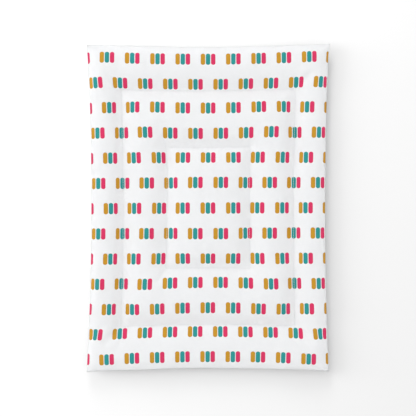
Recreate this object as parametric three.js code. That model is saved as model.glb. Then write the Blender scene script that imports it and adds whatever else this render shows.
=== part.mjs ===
// Padded changing mat with a waisted pillow outline, quilted through along two
// concentric rectangles. Two cotton covers are sewn face to face, turned right
// side out and filled with wadding cells; the quilting seams close the cells.
// Millimetres, +Z up. X is the width, Y is the length, and the origin is on the
// supporting surface under the middle of the mat.
import * as THREE from 'three';

// ---------------------------------------------------------------- dimensions
const HALF_W = 250;            // half width, measured to the corner tips
const HALF_L = 338;            // half length, measured to the corner tips
const WAIST_W = 9;             // how far each long side pulls in at its middle
const WAIST_L = 6.5;           // how far each short side pulls in at its middle
const WAIST_POWER = 3;         // keeps the pull-in away from the pointed corners
const OUTER_W = 178.5;         // outer quilted rectangle, half width
const OUTER_L = 240;           // outer quilted rectangle, half length
const INNER_W = 84.5;          // inner quilted rectangle, half width
const INNER_L = 123.5;         // inner quilted rectangle, half length

const CLOTH = 0.8;             // thickness of a cover, with its seams pressed
const GAP = 0.4;               // clearance between touching pieces
const SEAM_TOP_Z = 14.6;       // face of the turned-in allowance of the top cover
const SEAM_BASE_Z = 13.4;      // face of the turned-in allowance of the base cover
const ALLOWANCE = 10;          // width of the turned-in seam allowance
const QUILT_TOP_Z = 9.0;       // top cover where it is stitched down
const QUILT_BASE_Z = 6.4;      // base cover where it is pulled up by the stitching
const BORDER_RISE = 12;        // crown of the outer ring over its stitched edges
const MIDDLE_RISE = 14;        // crown of the middle ring
const CENTRE_RISE = 18.5;      // crown of the centre panel
const PUFF_POWER = 0.62;       // roundness of the crowns, lower is fuller
const BASE_FLAT_FROM = 0.26;   // share of a panel's width over which the base
                               // cover comes down from a quilting line
const BASE_EDGE_FROM = 0.60;   // where the base cover starts to rise to the edge

const THREAD = 0.6;            // quilting thread with its stitches drawn together
const SEAM_THREAD = 0.5;       // edge seam thread
const LABEL_W = 36;            // care label
const LABEL_L = 17;
const LABEL_T = 0.35;
const LABEL_X = 96;            // middle of the label along the foot edge
const CLOSING = 150;           // length of the closed turning gap

const SHORT_STEPS = 6;         // divisions along a short side
const LONG_STEPS = 8;          // divisions along a long side
const CENTRE_T = [0.34, 0.6, 0.8, 0.93, 1];
const MIDDLE_T = [0.09, 0.26, 0.5, 0.74, 0.91, 1];
const BORDER_T = [0.07, 0.2, 0.42, 0.64, 0.81, 0.92, 0.98];

// -------------------------------------------------------------------- finish
const cotton = (color, roughness = 0.86) =>
  new THREE.MeshStandardMaterial({ color, roughness, metalness: 0 });
const PRINTED_COTTON = cotton(0xf0f1f4);
const PLAIN_COTTON = cotton(0xefefee);
const WADDING = cotton(0xf7f6f2, 0.95);
const QUILT_THREAD = cotton(0xf2f2f2, 0.6);
const SEAM_COTTON = cotton(0xeeeeec, 0.6);
const LABEL_SATIN = cotton(0xfafafa, 0.45);

// -------------------------------------------------- points round a rectangle
// Unit rectangle outline, counterclockwise from the corner (1, -1).
const OUTLINE = [];
const CORNERS = [];
for (const [x0, y0, x1, y1, steps] of [
  [1, -1, 1, 1, LONG_STEPS], [1, 1, -1, 1, SHORT_STEPS],
  [-1, 1, -1, -1, LONG_STEPS], [-1, -1, 1, -1, SHORT_STEPS]]) {
  CORNERS.push(OUTLINE.length);
  for (let k = 0; k < steps; k++) {
    const f = k / steps;
    OUTLINE.push([x0 + (x1 - x0) * f, y0 + (y1 - y0) * f]);
  }
}
const ROUND = OUTLINE.length;

// One point of a concentric rectangle: the pull-in of the sides grows from none
// at the outer quilting line to its full amount at the edge.
function place(level, [u, v]) {
  const pull = level.pull;
  const x = u * level.a, y = v * level.b;
  const pullX = WAIST_W * pull * (1 - Math.abs(v) ** WAIST_POWER) * u * Math.abs(u);
  const pullY = WAIST_L * pull * (1 - Math.abs(u) ** WAIST_POWER) * v * Math.abs(v);
  return [x - pullX, y - pullY, level.z];
}

// ------------------------------------------------------------------ profiles
const mix = (a, b, t) => a + (b - a) * t;
const puff = (t) => Math.sin(Math.PI * t) ** PUFF_POWER;
const drop = (t) => {                       // from a quilting line to the floor
  const k = Math.min(1, t / BASE_FLAT_FROM);
  return QUILT_BASE_Z * (1 - k) ** 1.6;
};
const levels = [];
for (const t of CENTRE_T) levels.push({
  zone: 'centre', t, a: INNER_W * t, b: INNER_L * t, pull: 0,
  top: QUILT_TOP_Z + CENTRE_RISE * (1 - t ** 3.4),
  base: t > 1 - BASE_FLAT_FROM ? drop(1 - t) : 0 });
for (const t of MIDDLE_T) levels.push({
  zone: 'middle', t, a: mix(INNER_W, OUTER_W, t), b: mix(INNER_L, OUTER_L, t), pull: 0,
  top: QUILT_TOP_Z + MIDDLE_RISE * puff(t),
  base: drop(Math.min(t, 1 - t)) });
for (const t of BORDER_T) levels.push({
  zone: 'border', t, a: mix(OUTER_W, HALF_W, t), b: mix(OUTER_L, HALF_L, t), pull: t,
  top: mix(QUILT_TOP_Z, SEAM_TOP_Z, t) + BORDER_RISE * puff(t),
  base: t < BASE_EDGE_FROM ? drop(t)
    : (SEAM_BASE_Z - CLOTH) * ((t - BASE_EDGE_FROM) / (1 - BASE_EDGE_FROM)) ** 1.6 });

// Levels moved square to the surface by a distance: inwards from a cover face.
function shifted(kind, distance) {
  const side = kind === 'top' ? -1 : 1;
  return levels.map((level, i) => {
    const before = levels[Math.max(0, i - 1)], after = levels[Math.min(levels.length - 1, i + 1)];
    const run = (after.a + after.b - before.a - before.b) / 2;
    const rise = after[kind] - before[kind];
    const length = Math.hypot(run, rise);
    const outwards = -rise / length * side * distance;
    return { ...level, a: level.a + outwards, b: level.b + outwards,
      z: level[kind] + run / length * side * distance };
  });
}

// ------------------------------------------------------------ closed surfaces
function closedMesh(name, points, faces, material) {
  let volume = 0;
  for (const [i, j, k] of faces) {
    const a = new THREE.Vector3(...points[i]), b = new THREE.Vector3(...points[j]);
    volume += a.dot(b.cross(new THREE.Vector3(...points[k]))) / 6;
  }
  const index = volume < 0 ? faces.map(([i, j, k]) => [i, k, j]) : faces;
  const geometry = new THREE.BufferGeometry();
  geometry.setAttribute('position', new THREE.Float32BufferAttribute(points.flat(), 3));
  geometry.setIndex(index.flat());
  geometry.computeVertexNormals();
  const mesh = new THREE.Mesh(geometry, material);
  mesh.name = name;
  return mesh;
}

// A skin through concentric loops, closed by a middle point at either end.
function skin(name, loops, firstZ, lastZ, material) {
  const points = [[0, 0, firstZ]], faces = [];
  for (const loop of loops) points.push(...loop);
  points.push([0, 0, lastZ]);
  const at = (i, j) => 1 + i * ROUND + (j % ROUND);
  const last = points.length - 1;
  for (let j = 0; j < ROUND; j++) {
    faces.push([0, at(0, j), at(0, j + 1)]);
    for (let i = 0; i + 1 < loops.length; i++) {
      faces.push([at(i, j), at(i + 1, j), at(i + 1, j + 1)]);
      faces.push([at(i, j), at(i + 1, j + 1), at(i, j + 1)]);
    }
    faces.push([last, at(loops.length - 1, j + 1), at(loops.length - 1, j)]);
  }
  return closedMesh(name, points, faces, material);
}

// A slab between an upper and a lower grid of points of the same size.
function slab(name, upper, lower, material) {
  const rows = upper.length, cols = upper[0].length;
  const points = [...upper.flat(), ...lower.flat()], faces = [];
  const up = (i, j) => i * cols + j, low = (i, j) => rows * cols + i * cols + j;
  const quad = (a, b, c, d) => faces.push([a, b, c], [a, c, d]);
  for (let i = 0; i + 1 < rows; i++) for (let j = 0; j + 1 < cols; j++) {
    quad(up(i, j), up(i + 1, j), up(i + 1, j + 1), up(i, j + 1));
    quad(low(i, j), low(i, j + 1), low(i + 1, j + 1), low(i + 1, j));
  }
  for (let i = 0; i + 1 < rows; i++) {
    quad(up(i, 0), low(i, 0), low(i + 1, 0), up(i + 1, 0));
    quad(up(i, cols - 1), up(i + 1, cols - 1), low(i + 1, cols - 1), low(i, cols - 1));
  }
  for (let j = 0; j + 1 < cols; j++) {
    quad(up(0, j), up(0, j + 1), low(0, j + 1), low(0, j));
    quad(up(rows - 1, j), low(rows - 1, j), low(rows - 1, j + 1), up(rows - 1, j + 1));
  }
  return closedMesh(name, points, faces, material);
}

const loopOf = (level, z = level.z) => OUTLINE.map((p) => place({ ...level, z }, p));
const edge = (inset, z) => loopOf({ a: HALF_W - inset, b: HALF_L - inset, pull: 1, z });

// --------------------------------------------------------------------- covers
// Each cover runs from its middle to the edge fold, turns in as the seam
// allowance, and comes back along its inner face.
function cover(name, kind, seamZ, material) {
  const side = kind === 'top' ? 1 : -1;
  const outer = shifted(kind, 0), inner = shifted(kind, CLOTH);
  return skin(name, [
    ...outer.map((level) => loopOf(level)),
    edge(0, seamZ + side * CLOTH * 0.6),
    edge(0.35, seamZ),
    edge(ALLOWANCE, seamZ),
    edge(ALLOWANCE, seamZ + side * CLOTH),
    edge(1.5, seamZ + side * CLOTH),
    ...inner.reverse().map((level) => loopOf(level)),
  ], outer[0].z, inner[inner.length - 1].z, material);
}
const group = new THREE.Group();
group.add(cover('top_cover', 'top', SEAM_TOP_Z, PRINTED_COTTON));
group.add(cover('base_cover', 'base', SEAM_BASE_Z, PLAIN_COTTON));

// ------------------------------------------------------------------- fillings
const fillTop = shifted('top', CLOTH + GAP), fillBase = shifted('base', CLOTH + GAP);
const pick = (list, zone, from, to) =>
  list.filter((level) => level.zone === zone && level.t >= from - 1e-6 && level.t <= to + 1e-6);

const centreTop = pick(fillTop, 'centre', 0, 0.94), centreBase = pick(fillBase, 'centre', 0, 0.94);
group.add(skin('centre_filling',
  [...centreTop.map((l) => loopOf(l)), ...centreBase.map((l) => loopOf(l)).reverse()],
  centreTop[0].z, centreBase[0].z, WADDING));

// A mitred strip of wadding along one side of a ring, held clear of the next
// strip by moving its end points back along the side.
function strip(name, zone, from, to, corner, steps, material) {
  const clear = 0.7;
  const grid = (list) => pick(list, zone, from, to).map((level) => {
    const row = [];
    for (let k = 0; k <= steps; k++) {
      const p = place(level, OUTLINE[(CORNERS[corner] + k) % ROUND]);
      const along = corner % 2 === 0 ? 1 : 0;
      if (k === 0) p[along] -= Math.sign(p[along]) * clear;
      if (k === steps) p[along] -= Math.sign(p[along]) * clear;
      row.push(p);
    }
    return row;
  });
  return slab(name, grid(fillTop), grid(fillBase), material);
}
const SIDES = [['right', 0, LONG_STEPS], ['back', 1, SHORT_STEPS],
  ['left', 2, LONG_STEPS], ['front', 3, SHORT_STEPS]];
for (const [side, corner, steps] of SIDES) {
  group.add(strip(`middle_filling_${side}`, 'middle', 0.09, 0.91, corner, steps, WADDING));
}
for (const [side, corner, steps] of SIDES) {
  group.add(strip(`border_filling_${side}`, 'border', 0.07, 0.81, corner, steps, WADDING));
}

// -------------------------------------------------------------------- threads
function frameShape(points, inset) {
  const shape = new THREE.Shape(points.map(([x, y]) => new THREE.Vector2(x, y)));
  shape.holes.push(new THREE.Path(inset.map(([x, y]) => new THREE.Vector2(x, y))));
  return shape;
}
function ring(name, outside, inside, z, height, material) {
  const geometry = new THREE.ExtrudeGeometry(frameShape(outside, inside),
    { depth: height, bevelEnabled: false, steps: 1 });
  const mesh = new THREE.Mesh(geometry, material);
  mesh.name = name;
  mesh.position.z = z;
  return mesh;
}
const box = (a, b) => [[a, -b], [a, b], [-a, b], [-a, -b]];
for (const [name, a, b] of [['inner', INNER_W, INNER_L], ['outer', OUTER_W, OUTER_L]]) {
  const out = box(a + THREAD / 2, b + THREAD / 2), inn = box(a - THREAD / 2, b - THREAD / 2);
  group.add(ring(`${name}_quilt_needle_thread`, out, inn, QUILT_TOP_Z + 0.75, THREAD, QUILT_THREAD));
  group.add(ring(`${name}_quilt_bobbin_thread`, out, inn,
    QUILT_BASE_Z - 0.75 - THREAD, THREAD, QUILT_THREAD));
}
const seamMiddle = (SEAM_TOP_Z + SEAM_BASE_Z) / 2;
group.add(ring('edge_seam_thread', edge(1.2, 0), edge(1.2 + SEAM_THREAD, 0),
  seamMiddle - SEAM_THREAD / 2 + 0.02, SEAM_THREAD - 0.04, SEAM_COTTON));

// Closing stitches of the turning gap, over the fold in the middle of the foot.
const closing = [];
for (let k = 0; k <= 6; k++) closing.push(-CLOSING / 2 + CLOSING * k / 6);
const footFold = (x) => {
  const rim = edge(0, 0).filter(([, y]) => y < 0).sort((p, q) => p[0] - q[0]);
  for (let i = 0; i + 1 < rim.length; i++) {
    const [p, q] = [rim[i], rim[i + 1]];
    if (x >= p[0] && x <= q[0] && q[0] > p[0]) return mix(p[1], q[1], (x - p[0]) / (q[0] - p[0]));
  }
  return -HALF_L;
};
const closingShape = new THREE.Shape([
  ...closing.map((x) => new THREE.Vector2(x, footFold(x) - 0.35)),
  ...closing.slice().reverse().map((x) => new THREE.Vector2(x, footFold(x) - 0.35 - THREAD))]);
const closingThread = new THREE.Mesh(new THREE.ExtrudeGeometry(closingShape,
  { depth: 1.6, bevelEnabled: false, steps: 1 }), SEAM_COTTON);
closingThread.name = 'closing_seam_thread';
closingThread.position.z = seamMiddle - 0.8;
group.add(closingThread);

// ----------------------------------------------------------------- care label
// Height of the underside of the base cover under a point near the foot edge.
function undersideAt(x, y) {
  const outer = shifted('base', 0).map((level) => loopOf(level));
  for (let i = 0; i + 1 < outer.length; i++) for (let j = 0; j < ROUND; j++) {
    const q = [outer[i][j], outer[i + 1][j], outer[i + 1][(j + 1) % ROUND], outer[i][(j + 1) % ROUND]];
    for (const [a, b, c] of [[q[0], q[1], q[2]], [q[0], q[2], q[3]]]) {
      const det = (b[0] - a[0]) * (c[1] - a[1]) - (c[0] - a[0]) * (b[1] - a[1]);
      if (Math.abs(det) < 1e-9) continue;
      const u = ((x - a[0]) * (c[1] - a[1]) - (c[0] - a[0]) * (y - a[1])) / det;
      const v = ((b[0] - a[0]) * (y - a[1]) - (x - a[0]) * (b[1] - a[1])) / det;
      if (u >= -1e-6 && v >= -1e-6 && u + v <= 1 + 1e-6) {
        return a[2] + u * (b[2] - a[2]) + v * (c[2] - a[2]);
      }
    }
  }
  return 0;
}
const labelY = (f) => -(OUTER_L + (HALF_L - OUTER_L) * 0.7) - LABEL_L * (1 - f);
function labelGrid(x0, x1, f0, f1, below, cols, rows) {
  const grid = [];
  for (let i = 0; i <= rows; i++) {
    const row = [];
    for (let j = 0; j <= cols; j++) {
      const x = mix(x0, x1, j / cols), y = labelY(mix(f0, f1, i / rows));
      row.push([x, y, undersideAt(x, y) - below]);
    }
    grid.push(row);
  }
  return grid;
}
const labelX0 = LABEL_X - LABEL_W / 2, labelX1 = LABEL_X + LABEL_W / 2;
group.add(slab('care_label', labelGrid(labelX0, labelX1, 0, 1, 0.35, 6, 5),
  labelGrid(labelX0, labelX1, 0, 1, 0.35 + LABEL_T, 6, 5), LABEL_SATIN));
// One row of stitching along the label's inner long edge.
const sewX0 = labelX0 + 2, sewX1 = labelX1 - 2, sewUnder = 0.35 + LABEL_T + 0.3;
group.add(slab('care_label_stitching', labelGrid(sewX0, sewX1, 0.86, 0.9, sewUnder, 6, 1),
  labelGrid(sewX0, sewX1, 0.86, 0.9, sewUnder + 0.35, 6, 1), SEAM_COTTON));

export default group;
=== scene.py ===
import math
import time

import bpy
import numpy as np
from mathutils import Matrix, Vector


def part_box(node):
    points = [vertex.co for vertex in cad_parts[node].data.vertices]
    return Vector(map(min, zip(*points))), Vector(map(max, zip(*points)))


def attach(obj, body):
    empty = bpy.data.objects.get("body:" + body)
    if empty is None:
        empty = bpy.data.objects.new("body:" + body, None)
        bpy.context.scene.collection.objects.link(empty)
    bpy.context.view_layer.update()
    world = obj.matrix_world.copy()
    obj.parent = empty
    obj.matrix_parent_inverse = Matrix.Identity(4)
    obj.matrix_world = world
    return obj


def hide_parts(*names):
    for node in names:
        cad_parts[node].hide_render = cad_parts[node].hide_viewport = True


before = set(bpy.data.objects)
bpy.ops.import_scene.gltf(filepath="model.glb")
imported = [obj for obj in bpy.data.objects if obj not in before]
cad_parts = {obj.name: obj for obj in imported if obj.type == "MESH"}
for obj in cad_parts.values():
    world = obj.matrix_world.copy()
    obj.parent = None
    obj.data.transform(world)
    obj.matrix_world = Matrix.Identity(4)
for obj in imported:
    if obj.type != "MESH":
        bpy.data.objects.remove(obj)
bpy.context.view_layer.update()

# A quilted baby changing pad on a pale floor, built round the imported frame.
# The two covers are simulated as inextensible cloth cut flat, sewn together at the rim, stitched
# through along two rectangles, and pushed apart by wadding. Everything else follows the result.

# soft studio light: a bright even room, a broad low key from the left and a smaller one from behind,
# and the same two again on the floor alone, so that the white cloth is lit more gently than its ground
WORLD = .895
LIGHTS = (
    ("key_left", (-2.35, .45, 1.30), (0, 0, 0), (1.9, 1.8), 12.5),
    ("key_back", (-.50, 2.5, 1.25), (0, 0, 0), (1.2, 1.0), 9.5),
)
FLOOR_LIGHTS = (
    ("floor_left", (-2.5, .45, .74), (0, 0, 0), (1.6, 1.3), 50.),
    ("floor_back", (-.50, 2.5, .98), (0, 0, 0), (.8, .7), 25.),
)
SPREAD = (.55, .012)
CREASE = .00022

# ---------------------------------------------------------------- flat cut, in metres
FLAT_EDGE = (0.2510, 0.3390)
FLAT_OUTER = (0.1807, 0.2450)
FLAT_INNER = (0.0871, 0.1256)
SEAM_Z = .0140
LOFT = 0.0275                    # the wadding's own thickness
QUILT_Z = (0.0090, 0.0064)       # top cover, base cover


def cuts(inner, outer, edge, counts):
    a = np.linspace(0, inner, counts[0] + 1)
    b = np.linspace(inner, outer, counts[1] + 1)[1:]
    c = np.linspace(outer, edge, counts[2] + 1)[1:]
    half = np.concatenate([a, b, c])
    return np.concatenate([-half[:0:-1], half]), (counts[0], counts[0] + counts[1])


def spline(xs, ys):
    """Natural cubic through points, as a callable."""
    xs, ys = np.asarray(xs, float), np.asarray(ys, float)
    n = len(xs)
    h = np.diff(xs)
    A = np.eye(n)
    r = np.zeros(n)
    for i in range(1, n - 1):
        A[i, i - 1], A[i, i], A[i, i + 1] = h[i - 1], 2 * (h[i - 1] + h[i]), h[i]
        r[i] = 6 * ((ys[i + 1] - ys[i]) / h[i] - (ys[i] - ys[i - 1]) / h[i - 1])
    m = np.linalg.solve(A, r)

    def f(x):
        x = np.clip(np.asarray(x, float), xs[0], xs[-1])
        k = np.clip(np.searchsorted(xs, x) - 1, 0, n - 2)
        t, hk = x - xs[k], h[k]
        return (ys[k] + t * ((ys[k + 1] - ys[k]) / hk - hk * (2 * m[k] + m[k + 1]) / 6)
                + t ** 2 * m[k] / 2 + t ** 3 * (m[k + 1] - m[k]) / (6 * hk))
    return f


def outline(u, v):
    """Where the seam lies, for flat positions u, v from -1 to 1 along its sides."""
    # pull-in of each side from the straight line between its tips, in mm
    left = spline([-1, -.93, -.8, -.6, -.3, 0, .3, .6, .8, .93, 1],
                  [0, 1.2, 3.2, 6.2, 8.8, 9.6, 9.0, 6.8, 4.0, 1.6, 0])
    right = spline([-1, -.93, -.8, -.6, -.3, 0, .3, .6, .8, .93, 1],
                   [0, 1.1, 2.6, 5.0, 7.4, 8.2, 7.6, 5.8, 3.8, 2.2, 0])
    top = spline([-1, -.9, -.7, -.4, 0, .4, .7, .9, 1],
                 [0, .7, 2.2, 4.4, 5.6, 4.6, 3.0, 1.8, 0])
    bottom = spline([-1, -.9, -.7, -.4, 0, .4, .7, .9, 1],
                    [0, 2.6, 4.0, 6.4, 7.6, 6.2, 4.2, 2.0, 0])
    tips = {"tl": (-.2500, .3362), "tr": (.2500, .3385), "bl": (-.2500, -.3380), "br": (.2480, -.3362)}

    def side(a, b, t, pull, inward):
        a, b = np.array(tips[a]), np.array(tips[b])
        f = ((t + 1) / 2)[:, None]
        return a * (1 - f) + b * f + (pull(t) * .001)[:, None] * np.array(inward)
    return {"left": side("bl", "tl", v, left, (1, 0)), "right": side("br", "tr", v, right, (-1, 0)),
            "top": side("tl", "tr", u, top, (0, -1)), "bottom": side("bl", "br", u, bottom, (0, 1))}


def smooth_noise(rng, ny, nx, size, dy, dx):
    """Soft noise of about unit amplitude with features of the given size in metres."""
    ky, kx = np.fft.fftfreq(ny, dy)[:, None], np.fft.rfftfreq(nx, dx)[None, :]
    f = np.exp(-(ky ** 2 + kx ** 2) * size ** 2 * 2.5)
    n = np.fft.irfft2(np.fft.rfft2(rng.standard_normal((ny, nx))) * f, s=(ny, nx))
    return n / n.std()


def simulate(steps=800, iters=1, pressure=(.30, .16), verbose=False, seed=7):
    rng = np.random.default_rng(seed)
    xf, (ix1, ix2) = cuts(FLAT_INNER[0], FLAT_OUTER[0], FLAT_EDGE[0], (20, 22, 17))
    yf, (iy1, iy2) = cuts(FLAT_INNER[1], FLAT_OUTER[1], FLAT_EDGE[1], (30, 28, 22))
    nx, ny = len(xf), len(yf)
    cx, cy = nx // 2, ny // 2
    U, V = np.meshgrid(xf / FLAT_EDGE[0], yf / FLAT_EDGE[1])
    edge = outline(xf / FLAT_EDGE[0], yf / FLAT_EDGE[1])

    # stitched lines as masks
    stitch = np.zeros((ny, nx), bool)
    for a, b in ((ix1, iy1), (ix2, iy2)):
        stitch[cy - b:cy + b + 1, [cx - a, cx + a]] = True
        stitch[[cy - b, cy + b], cx - a:cx + a + 1] = True
    rim = np.zeros((ny, nx), bool)
    rim[[0, -1], :] = True
    rim[:, [0, -1]] = True

    # start: flat plane mapped to the outline by transfinite blending, panels already raised
    fu, fv = (U + 1) / 2, (V + 1) / 2
    L, R, T, B = edge["left"], edge["right"], edge["top"], edge["bottom"]
    P = ((1 - fu)[..., None] * L[:, None] + fu[..., None] * R[:, None]
         + (1 - fv)[..., None] * B[None] + fv[..., None] * T[None]
         - ((1 - fu) * (1 - fv))[..., None] * B[0] - (fu * (1 - fv))[..., None] * B[-1]
         - ((1 - fu) * fv)[..., None] * T[0] - (fu * fv)[..., None] * T[-1])
    ax, ay = np.abs(xf)[None] + 0 * V, np.abs(yf)[:, None] + 0 * U
    m_in = np.maximum(ax / FLAT_INNER[0], ay / FLAT_INNER[1])
    m_mid = np.maximum((ax - FLAT_INNER[0]) / (FLAT_OUTER[0] - FLAT_INNER[0]),
                       (ay - FLAT_INNER[1]) / (FLAT_OUTER[1] - FLAT_INNER[1]))
    m_bor = np.maximum((ax - FLAT_OUTER[0]) / (FLAT_EDGE[0] - FLAT_OUTER[0]),
                       (ay - FLAT_OUTER[1]) / (FLAT_EDGE[1] - FLAT_OUTER[1]))
    centre, middle = m_in <= 1, (m_in > 1) & (m_mid <= 1)
    border = ~centre & ~middle
    bump = lambda t: np.sin(np.pi * np.clip(t, 0, 1)) ** .8
    zt = np.where(centre, QUILT_Z[0] + .012 * (1 - m_in ** 3),
                  np.where(middle, QUILT_Z[0] + .009 * bump(m_mid),
                           QUILT_Z[0] + (SEAM_Z - QUILT_Z[0]) * np.clip(m_bor, 0, 1) + .008 * bump(m_bor)))
    drop = np.where(centre, np.clip((1 - m_in) * 4, 0, 1), np.where(middle, np.clip(np.minimum(m_mid, 1 - m_mid) * 4, 0, 1),
                    np.clip(np.minimum(m_bor, 1 - m_bor) * 4, 0, 1)))
    zb = np.where(border, QUILT_Z[1] + (SEAM_Z - QUILT_Z[1]) * np.clip(m_bor, 0, 1), QUILT_Z[1]) * (1 - drop)
    X = np.zeros((2, ny, nx, 3))
    X[..., :2] = P
    X[0, ..., 2], X[1, ..., 2] = zt, zb
    X[..., 2] += rng.normal(0, 1e-4, X.shape[:-1])

    dxm, dym = np.diff(xf), np.diff(yf)
    h = float(dxm.mean())

    # rest lengths: the flat cut, drawn up a little along the stitching, and eased by soft noise
    lump = smooth_noise(rng, ny, nx, .05, h, h)
    base_ease = np.array([1.0, .988])[:, None, None]
    rx = np.repeat((dxm[None, :] * np.ones((ny, 1)))[None], 2, 0)
    ry = np.repeat((dym[:, None] * np.ones((1, nx)))[None], 2, 0)
    ease = 1 + .0022 * lump
    rx = rx * (ease[:, 1:] + ease[:, :-1]) / 2 * base_ease
    ry = ry * (ease[1:] + ease[:-1]) / 2 * base_ease
    on_x = stitch[:, 1:] & stitch[:, :-1]
    on_y = stitch[1:] & stitch[:-1]
    rx[:, on_x] *= .985
    ry[:, on_y] *= .985
    # the seam's own stitching draws it up as well
    rx[:, [0, -1], :] *= .99
    ry[:, :, [0, -1]] *= .99

    W = np.ones((2, ny, nx))
    W[:, rim] = 0
    Wz = np.ones((2, ny, nx))
    Vv = np.zeros_like(X)
    dt = .002
    rho = .35                                   # kg per square metre, with the wadding that moves with it
    mass = rho * h * h
    lump2 = smooth_noise(rng, ny, nx, .045, h, h)
    lump3 = smooth_noise(rng, ny, nx, .045, h, h)
    press = np.stack([pressure[0] * (1 + .16 * lump2), pressure[1] * (1 + .16 * lump3)])

    # target xy of the rim
    X[:, 0, :, :2], X[:, -1, :, :2] = B, T
    X[:, :, 0, :2], X[:, :, -1, :2] = L, R
    rimz = SEAM_Z + .0006 * smooth_noise(rng, ny, nx, .06, h, h)
    X[0][rim, 2] = rimz[rim] + .0003
    X[1][rim, 2] = rimz[rim] - .0003
    pinned = X.copy()
    zst = .0005 * smooth_noise(rng, ny, nx, .07, h, h)

    def project(A, Bi, rest, k, w):
        # A, Bi are index tuples into X
        a, b = X[A], X[Bi]
        d = b - a
        ln = np.sqrt((d * d).sum(-1)) + 1e-12
        wa, wb = w[A], w[Bi]
        ws = wa + wb
        c = k * (ln - rest) / ln / np.maximum(ws, 1e-9)
        d *= c[..., None]
        X[A] = a + d * wa[..., None]
        X[Bi] = b - d * wb[..., None]

    s = slice
    shear, stiff, stiff_wide = .12, .10, .04
    allb = s(None)
    groups = []
    # structural
    for o in (0, 1):
        n = (nx - 1 - o + 1) // 2
        A = (allb, allb, s(o, o + 2 * n - 1, 2)); Bq = (allb, allb, s(o + 1, o + 2 * n, 2))
        groups.append((A, Bq, rx[:, :, o::2][:, :, :n], 1.))
        n = (ny - 1 - o + 1) // 2
        A = (allb, s(o, o + 2 * n - 1, 2), allb); Bq = (allb, s(o + 1, o + 2 * n, 2), allb)
        groups.append((A, Bq, ry[:, o::2, :][:, :n], 1.))
    # shear, both diagonals, by row and column parity
    dg = np.sqrt(rx[:, :-1, :] ** 2 * .5 + rx[:, 1:, :] ** 2 * .5 + (ry[:, :, :-1] ** 2 + ry[:, :, 1:] ** 2) * .5)
    for o in (0, 1):
        for q in (0, 1):
            r0, r1 = s(o, ny - 1, 2), s(o + 1, ny, 2)
            c0, c1 = s(q, nx - 1, 2), s(q + 1, nx, 2)
            r = dg[:, r0, c0]
            groups.append(((allb, r0, c0), (allb, r1, c1), r, shear))
            groups.append(((allb, r0, c1), (allb, r1, c0), r, shear))
    # bending as weak struts over two spans
    rx2, ry2 = rx[:, :, :-1] + rx[:, :, 1:], ry[:, :-1] + ry[:, 1:]
    bend = []
    for o in (0, 1, 2, 3):
        bend.append(((allb, allb, s(o, nx - 2, 4)), (allb, allb, s(o + 2, nx, 4)), rx2[:, :, o::4]))
        bend.append(((allb, s(o, ny - 2, 4), allb), (allb, s(o + 2, ny, 4), allb), ry2[:, o::4, :]))
    # and over four: the wadding quilted in behind the cloth rounds the grooves
    rx4, ry4 = rx2[:, :, :-2] + rx2[:, :, 2:], ry2[:, :-2] + ry2[:, 2:]
    wide = []
    for o in range(8):
        wide.append(((allb, allb, s(o, nx - 4, 8)), (allb, allb, s(o + 4, nx, 8)), rx4[:, :, o::8]))
        wide.append(((allb, s(o, ny - 4, 8), allb), (allb, s(o + 4, ny, 8), allb), ry4[:, o::8, :]))

    X, W, press, pinned, Vv = (a.astype(np.float32) for a in (X, W, press, pinned, Vv))
    groups = [(A, Bq, r.astype(np.float32), k) for A, Bq, r, k in groups]
    bend = [(A, Bq, r.astype(np.float32)) for A, Bq, r in bend]
    wide = [(A, Bq, r.astype(np.float32)) for A, Bq, r in wide]
    g = 0.
    t0 = time.time()
    for step in range(steps):
        # pressure along the normals
        ex = np.empty_like(X); ey = np.empty_like(X)
        ex[:, :, 1:-1] = X[:, :, 2:] - X[:, :, :-2]
        ex[:, :, 0] = X[:, :, 1] - X[:, :, 0]; ex[:, :, -1] = X[:, :, -1] - X[:, :, -2]
        ey[:, 1:-1] = X[:, 2:] - X[:, :-2]
        ey[:, 0] = X[:, 1] - X[:, 0]; ey[:, -1] = X[:, -1] - X[:, -2]
        nrm = np.cross(ex, ey) / 4
        nrm[1] *= -1
        loft = np.clip((LOFT - (X[0, ..., 2] - X[1, ..., 2])) / (.3 * LOFT), -1, 1)
        F = (press * loft)[..., None] * nrm
        F[..., 2] += mass * g
        Vv += F / mass * dt
        Vv *= .992 if step < steps * .5 else .96
        Vv *= W[..., None]
        sp = np.sqrt((Vv ** 2).sum(-1, keepdims=True))
        Vv *= np.minimum(1, .25 / np.maximum(sp, 1e-9))
        X0 = X.copy()
        X += Vv * dt
        for it in range(iters):
            for A, Bq, r, k in groups:
                project(A, Bq, r, k, W)
            if it == 0:
                for A, Bq, r in bend:
                    project(A, Bq, r, stiff, W)
                for A, Bq, r in wide:
                    project(A, Bq, r, stiff_wide, W)
            # ties at the stitching: both covers share a place, at a set height
            m = (X[0][stitch] + X[1][stitch]) / 2
            X[0][stitch, :2] = m[:, :2]
            X[1][stitch, :2] = m[:, :2]
            X[0][stitch, 2] = QUILT_Z[0] + zst[stitch]
            X[1][stitch, 2] = QUILT_Z[1] + zst[stitch]
            # the floor and the wadding
            X[1, ..., 2] = np.maximum(X[1, ..., 2], 0)
            X[:, rim] = pinned[:, rim]
        Vv = (X - X0) / dt
        if verbose and step % 100 == 99:
            print(step, round(time.time() - t0, 1), "top z max", X[0, ..., 2].max(), "v", np.abs(Vv).max())
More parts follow.
